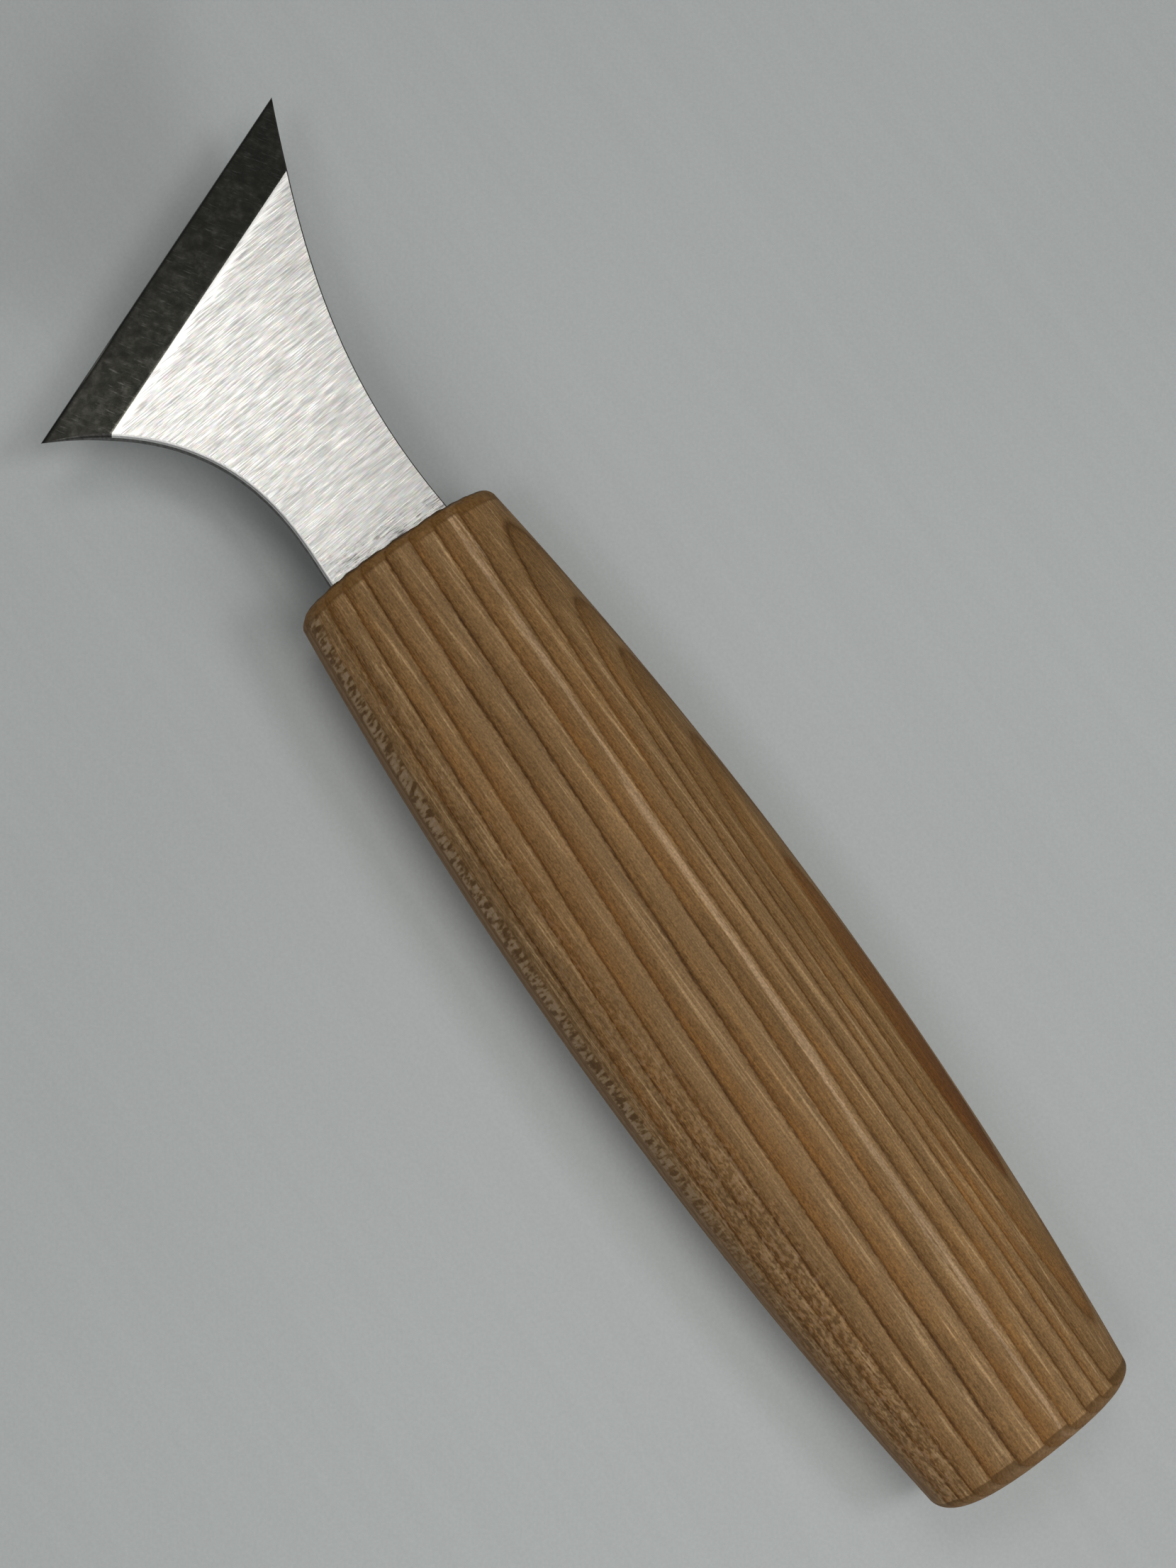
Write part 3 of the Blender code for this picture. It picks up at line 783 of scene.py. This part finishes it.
def brushed_carbon_steel():
    """Hardened carbon steel drawn across an abrasive belt, which leaves fine parallel lines on the flats.

    The eye sees a bright silver whose shine breaks into short streaks, faintly pink and green where the lines
    split the light, a painted highlight along the flat behind each bevel, and scuffs where the blade enters
    the wood. The real grit lines are a few hundredths of a mm wide, and are drawn wider here so that they
    show.
    """
    material, tree, where = start_material("brushed_carbon_steel")
    axes = add_node(tree, "ShaderNodeSeparateXYZ", {"Vector": where})
    fine = grit_lines(tree, where, BRUSH_LINES, 2.8, 0.13)
    broad = grit_lines(tree, where, BRUSH_LINES, 9.0, 0.45)
    lines = add_node(tree, "ShaderNodeMath", {0: broad, 1: 0.40, 2: fine}, operation="MULTIPLY_ADD")
    tone = add_node(tree, "ShaderNodeMapRange", {"Value": lines, "From Min": 0.55, "From Max": 0.86})
    drawn = add_node(
        tree, "ShaderNodeMix", {0: tone, BASE: colour("B2B2B0"), TOP: colour("DEDDD9")}, data_type="RGBA")

    tinge_spot = add_node(tree, "ShaderNodeVectorMath", {0: where, 1: (0.7, 1.0, 1.0)}, operation="DIVIDE")
    tinges = add_node(tree, "ShaderNodeTexNoise", {"Vector": tinge_spot, "Scale": 1.6, "Detail": 2.0})
    tinge = add_node(
        tree, "ShaderNodeVectorMath", {0: tinges.outputs["Color"], 1: (0.32, 0.27, 0.34),
        2: (0.840, 0.865, 0.830)}, operation="MULTIPLY_ADD")
    tinged = add_node(tree, "ShaderNodeVectorMath", {0: drawn, 1: tinge}, operation="MULTIPLY")

    # A painted highlight along the flat's last mm behind the bevel, where grinding rolls the flat over a
    # little.
    from_tip = add_node(tree, "ShaderNodeVectorMath", {0: where, 1: (*TIP_FAR, 0.0)}, operation="SUBTRACT")
    back = add_node(tree, "ShaderNodeVectorMath", {0: from_tip, 1: BACK_FROM_EDGE}, operation="DOT_PRODUCT")
    ragged = add_node(
        tree, "ShaderNodeMath", {0: lines, 1: -HIGHLIGHT_RAGGED, 2: back.outputs["Value"]},
        operation="MULTIPLY_ADD")
    highlight_share = add_node(
        tree, "ShaderNodeMapRange", {"Value": ragged, "From Min": BEVEL_WIDTH + HIGHLIGHT_FADE[0],
        "From Max": BEVEL_WIDTH + HIGHLIGHT_FADE[1], "To Max": 0.90})
    painted_highlight = add_node(
        tree, "ShaderNodeMix", {0: highlight_share, BASE: tinged, TOP: colour("F6F5F2")}, data_type="RGBA")

    # Scuffs and glue smears just outside the wood.
    scuffs = grit_lines(tree, where, BRUSH_LINES - math.radians(4.0), 1.4, 0.12)
    scuff = add_node(tree, "ShaderNodeMapRange", {"Value": scuffs, "From Min": 0.50, "From Max": 0.60})
    smears = add_node(tree, "ShaderNodeTexNoise", {"Vector": where, "Scale": 0.8, "Detail": 3.0})
    smear = add_node(tree, "ShaderNodeMapRange", {"Value": smears, "From Min": 0.42, "From Max": 0.55})
    marks = add_node(tree, "ShaderNodeMath", {0: scuff, 1: smear}, operation="MULTIPLY")
    by_wood = add_node(
        tree, "ShaderNodeMapRange", {"Value": axes.outputs["X"], "From Min": SCUFFED_X[0],
        "From Max": SCUFFED_X[1], "To Max": 0.90})
    scuff_share = add_node(tree, "ShaderNodeMath", {0: marks, 1: by_wood}, operation="MULTIPLY")
    scuffed = add_node(
        tree, "ShaderNodeMix", {0: scuff_share, BASE: painted_highlight, TOP: colour("5F5C58")}, data_type="RGBA")

    rough = add_node(
        tree, "ShaderNodeMapRange", {"Value": lines, "From Min": 0.45, "From Max": 0.95, "To Min": 0.38,
        "To Max": 0.25})
    bump = add_node(tree, "ShaderNodeBump", {"Height": lines, "Strength": 0.4, "Distance": 0.0000025})
    shader = add_node(
        tree, "ShaderNodeBsdfPrincipled", {"Base Color": scuffed, "Metallic": 1.0, "Roughness": rough,
        "Normal": bump})
    finish_material(tree, shader)
    return material


def ground_bevel_steel():
    """Carbon steel ground and lapped on a fine wheel, painted dark: painted shade for the dark it mirrors.

    The eye sees a smooth near-black face with faint pale scratches straight back from the edge and a few
    dull, cloudy patches.
    """
    material, tree, where = start_material("ground_bevel_steel")
    lapping = grit_lines(tree, where, GRIND_LINES, 4.0, 0.16)
    scratches = grit_lines(tree, where, GRIND_LINES + math.radians(7.0), 1.8, 0.11)
    scratch = add_node(
        tree, "ShaderNodeMapRange", {"Value": scratches, "From Min": 0.60, "From Max": 0.70,
        "To Max": 0.80})
    clouds = add_node(
        tree, "ShaderNodeTexNoise", {"Vector": where, "Scale": 0.75, "Detail": 5.0, "Roughness": 0.7})
    cloud = add_node(
        tree, "ShaderNodeMapRange", {"Value": clouds, "From Min": 0.50, "From Max": 0.66, "To Max": 0.32})
    # The steel itself is painted near-black: painted shade for the dark surroundings the bevel mirrors.
    painted_shade_steel = add_node(
        tree, "ShaderNodeMix", {0: lapping, BASE: colour("605F57"), TOP: colour("74736A")},
        data_type="RGBA")
    cloudy = add_node(
        tree, "ShaderNodeMix", {0: cloud, BASE: painted_shade_steel, TOP: colour("8A8981")}, data_type="RGBA")
    scratched = add_node(
        tree, "ShaderNodeMix", {0: scratch, BASE: cloudy, TOP: colour("B4B3AC")}, data_type="RGBA")
    rough = add_node(
        tree, "ShaderNodeMapRange", {"Value": clouds, "From Min": 0.35, "From Max": 0.70, "To Min": 0.12,
        "To Max": 0.19})
    bump = add_node(tree, "ShaderNodeBump", {"Height": lapping, "Strength": 0.4, "Distance": 0.000002})
    shader = add_node(
        tree, "ShaderNodeBsdfPrincipled", {"Base Color": scratched, "Metallic": 1.0, "Roughness": rough,
        "Normal": bump})
    finish_material(tree, shader)
    return material


def lined_steel(name, turn, line_length, line_width, light, dark, rough_low, rough_high):
    """Carbon steel with one set of abrasive lines: the honed edge, the sheared sides and the stoned rim.

    The eye sees a plain metal with fine lines, glossier on the tops of the lines, which are drawn wider than
    real ones so that they show. The colours are given: near-black for the honed edge and the sheared sides,
    as painted shade, and near-white for the rim, as a painted highlight.
    """
    material, tree, where = start_material(name)
    lines = grit_lines(tree, where, turn, line_length, line_width)
    tone = add_node(tree, "ShaderNodeMapRange", {"Value": lines, "From Min": 0.32, "From Max": 0.68})
    drawn = add_node(
        tree, "ShaderNodeMix", {0: tone, BASE: colour(dark), TOP: colour(light)}, data_type="RGBA")
    rough = add_node(tree, "ShaderNodeMapRange", {"Value": tone, "To Min": rough_high, "To Max": rough_low})
    bump = add_node(tree, "ShaderNodeBump", {"Height": lines, "Strength": 0.4, "Distance": 0.000004})
    shader = add_node(
        tree, "ShaderNodeBsdfPrincipled", {"Base Color": drawn, "Metallic": 1.0, "Roughness": rough,
        "Normal": bump})
    finish_material(tree, shader)
    return material


def cured_epoxy():
    """Two-part epoxy, poured and cured.

    The eye sees glossy amber with haze about 2 mm wide and small trapped bubbles 0.6 mm apart.
    """
    material, tree, where = start_material("cured_epoxy")
    haze_spot = add_node(tree, "ShaderNodeVectorMath", {0: where, 1: (0.4, 0.6, 0.6)}, operation="MULTIPLY")
    haze = add_node(tree, "ShaderNodeTexNoise", {"Vector": haze_spot, "Scale": 1.0, "Detail": 3.0})
    amber = add_node(
        tree, "ShaderNodeValToRGB", {"Fac": haze}, stops=[(0.30, "5E4A2C"), (0.55, "84693F"),
        (0.75, "A08452")])
    bubbles = add_node(tree, "ShaderNodeTexVoronoi", {"Vector": where, "Scale": 1.6})
    dimple = add_node(tree, "ShaderNodeMapRange", {"Value": bubbles.outputs["Distance"], "From Max": 0.25})
    rough = add_node(tree, "ShaderNodeMapRange", {"Value": haze, "To Min": 0.14, "To Max": 0.34})
    bump = add_node(tree, "ShaderNodeBump", {"Height": dimple, "Strength": 0.4, "Distance": 0.0001})
    shader = add_node(
        tree, "ShaderNodeBsdfPrincipled", {"Base Color": amber, "Roughness": rough, "IOR": 1.55,
        "Normal": bump})
    finish_material(tree, shader)
    return material


def painted_board():
    """Matt painted board, rolled on and rubbed, for the floor.

    The eye sees pale cool grey with washes about 170 mm wide, rubbed marks 50 mm by 2 mm, and an orange peel
    of 0.4 mm.
    """
    material, tree, where = start_material("painted_board")
    wash_spot = add_node(
        tree, "ShaderNodeVectorMath", {0: where, 1: (0.006, 0.006, 0.006)}, operation="MULTIPLY")
    wash = add_node(tree, "ShaderNodeTexNoise", {"Vector": wash_spot, "Scale": 1.0, "Detail": 2.0})
    rub_spot = add_node(tree, "ShaderNodeVectorMath", {0: where, 1: (0.02, 0.5, 1.0)}, operation="MULTIPLY")
    rubs = add_node(tree, "ShaderNodeTexNoise", {"Vector": rub_spot, "Scale": 1.0, "Detail": 4.0})
    grey = add_node(tree, "ShaderNodeValToRGB", {"Fac": wash}, stops=[(0.30, "C3C7C5"), (0.70, "CBCFCD")])
    rub = add_node(
        tree, "ShaderNodeMapRange", {"Value": rubs, "From Min": 0.3, "From Max": 0.7, "To Min": 0.985,
        "To Max": 1.012})
    rubbed = add_node(tree, "ShaderNodeVectorMath", {0: grey, "Scale": rub}, operation="SCALE")
    peel = add_node(tree, "ShaderNodeTexNoise", {"Vector": where, "Scale": 2.6, "Detail": 2.0})
    speck = add_node(
        tree, "ShaderNodeMapRange", {"Value": peel, "From Min": 0.3, "From Max": 0.7, "To Min": 0.965,
        "To Max": 1.03})
    specked = add_node(tree, "ShaderNodeVectorMath", {0: rubbed, "Scale": speck}, operation="SCALE")
    bump = add_node(tree, "ShaderNodeBump", {"Height": peel, "Strength": 0.12, "Distance": 0.00008})
    shader = add_node(
        tree, "ShaderNodeBsdfPrincipled", {"Base Color": specked, "Roughness": 0.62, "Normal": bump})
    finish_material(tree, shader)
    return material


# ---------------------------------------------------------------- the knife

handle = make_handle(oiled_ash())
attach(handle, "root")
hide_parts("handle")

blade = make_blade(
    brushed_carbon_steel(),
    ground_bevel_steel(),
    # The honed edge and the sheared sides get a near-black steel: painted shade for the dark they mirror.
    lined_steel("honed_edge_steel", EDGE_LINE, 3.0, 0.10, "5B5A56", "42413D", 0.10, 0.16),
    lined_steel("sheared_side_steel", 0.0, 0.5, 0.30, "62615D", "403F3C", 0.34, 0.50),
    # A near-white steel on the near side's eased rim: a painted highlight.
    lined_steel("painted_highlight_rim_steel", 0.0, 1.2, 0.10, "F6F5F2", "DAD9D6", 0.40, 0.52),
)
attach(blade, "root")
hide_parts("blade")

for material_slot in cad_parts["tang_adhesive"].material_slots:
    material_slot.material = cured_epoxy()

# ---------------------------------------------------------------- floor, lights and camera, in metres

FLOOR_HALF = 0.9
floor_mesh = bpy.data.meshes.new("floor")
floor_corners = [(x * FLOOR_HALF, y * FLOOR_HALF, 0.0) for x, y in ((-1, -1), (1, -1), (1, 1), (-1, 1))]
floor_mesh.from_pydata(floor_corners, [], [(0, 1, 2, 3)])
floor_mesh.materials.append(painted_board())
floor = bpy.data.objects.new("floor", floor_mesh)
bpy.context.scene.collection.objects.link(floor)


def add_light(name, where, aim, width, height, power, tint):
    """A rectangular soft light."""
    data = bpy.data.lights.new(name, "AREA")
    data.shape = "RECTANGLE"
    data.size = width
    data.size_y = height
    data.energy = power
    data.color = colour(tint)[:3]
    lamp = bpy.data.objects.new(name, data)
    lamp.location = where
    lamp.rotation_euler = (Vector(aim) - Vector(where)).to_track_quat("-Z", "Y").to_euler()
    bpy.context.scene.collection.objects.link(lamp)


# The flats mirror the blade softbox. No light stands where the bevel would mirror it, so it stays dark.
add_light("blade_softbox", (0.265, -0.05, 0.75), (0.265, -0.05, 0.0), 0.22, 0.26, 0.59, "FFFDFA")
add_light("overhead_softbox", (-0.16, -0.04, 0.74), (-0.10, -0.03, 0.0), 0.22, 0.22, 0.74, "FFFDFA")
add_light("far_side_softbox", (-0.20, -0.28, 0.68), (0.0, 0.0, 0.0), 0.16, 0.16, 0.63, "FAFCFF")
add_light("near_side_softbox", (0.00, 0.32, 0.68), (0.0, 0.0, 0.0), 0.16, 0.16, 0.36, "FAFCFF")
add_light("low_butt_lamp", (-0.72, 0.02, 0.27), (0.0, 0.0, 0.0), 0.30, 0.30, 2.68, "FCFDFF")
add_light("low_front_lamp", (0.72, 0.10, 0.25), (0.0, 0.0, 0.0), 0.30, 0.30, 0.66, "FCFDFF")

world = bpy.data.worlds.new("dim_room")
world.use_nodes = True
world.node_tree.nodes["Background"].inputs["Color"].default_value = colour("E8ECF0")
world.node_tree.nodes["Background"].inputs["Strength"].default_value = 0.10
bpy.context.scene.world = world

CAMERA_PLACE = Vector((-0.01162, 0.05303, 0.31059))
CAMERA_AIM = Vector((0.00142, -0.00510, 0.01160))
PICTURE_UP = math.radians(-36.27)
camera_data = bpy.data.cameras.new("camera")
camera_data.lens = 63.47
camera_data.sensor_width = 36.0
camera_data.clip_start = 0.01
camera = bpy.data.objects.new("camera", camera_data)
forward = (CAMERA_AIM - CAMERA_PLACE).normalized()
right = forward.cross(Vector((math.cos(PICTURE_UP), math.sin(PICTURE_UP), 0.0))).normalized()
camera_axes = Matrix((right, right.cross(forward), -forward)).transposed()
camera.matrix_world = Matrix.Translation(CAMERA_PLACE) @ camera_axes.to_4x4()
bpy.context.scene.collection.objects.link(camera)
bpy.context.scene.camera = camera
bpy.context.scene.view_settings.view_transform = "Standard"
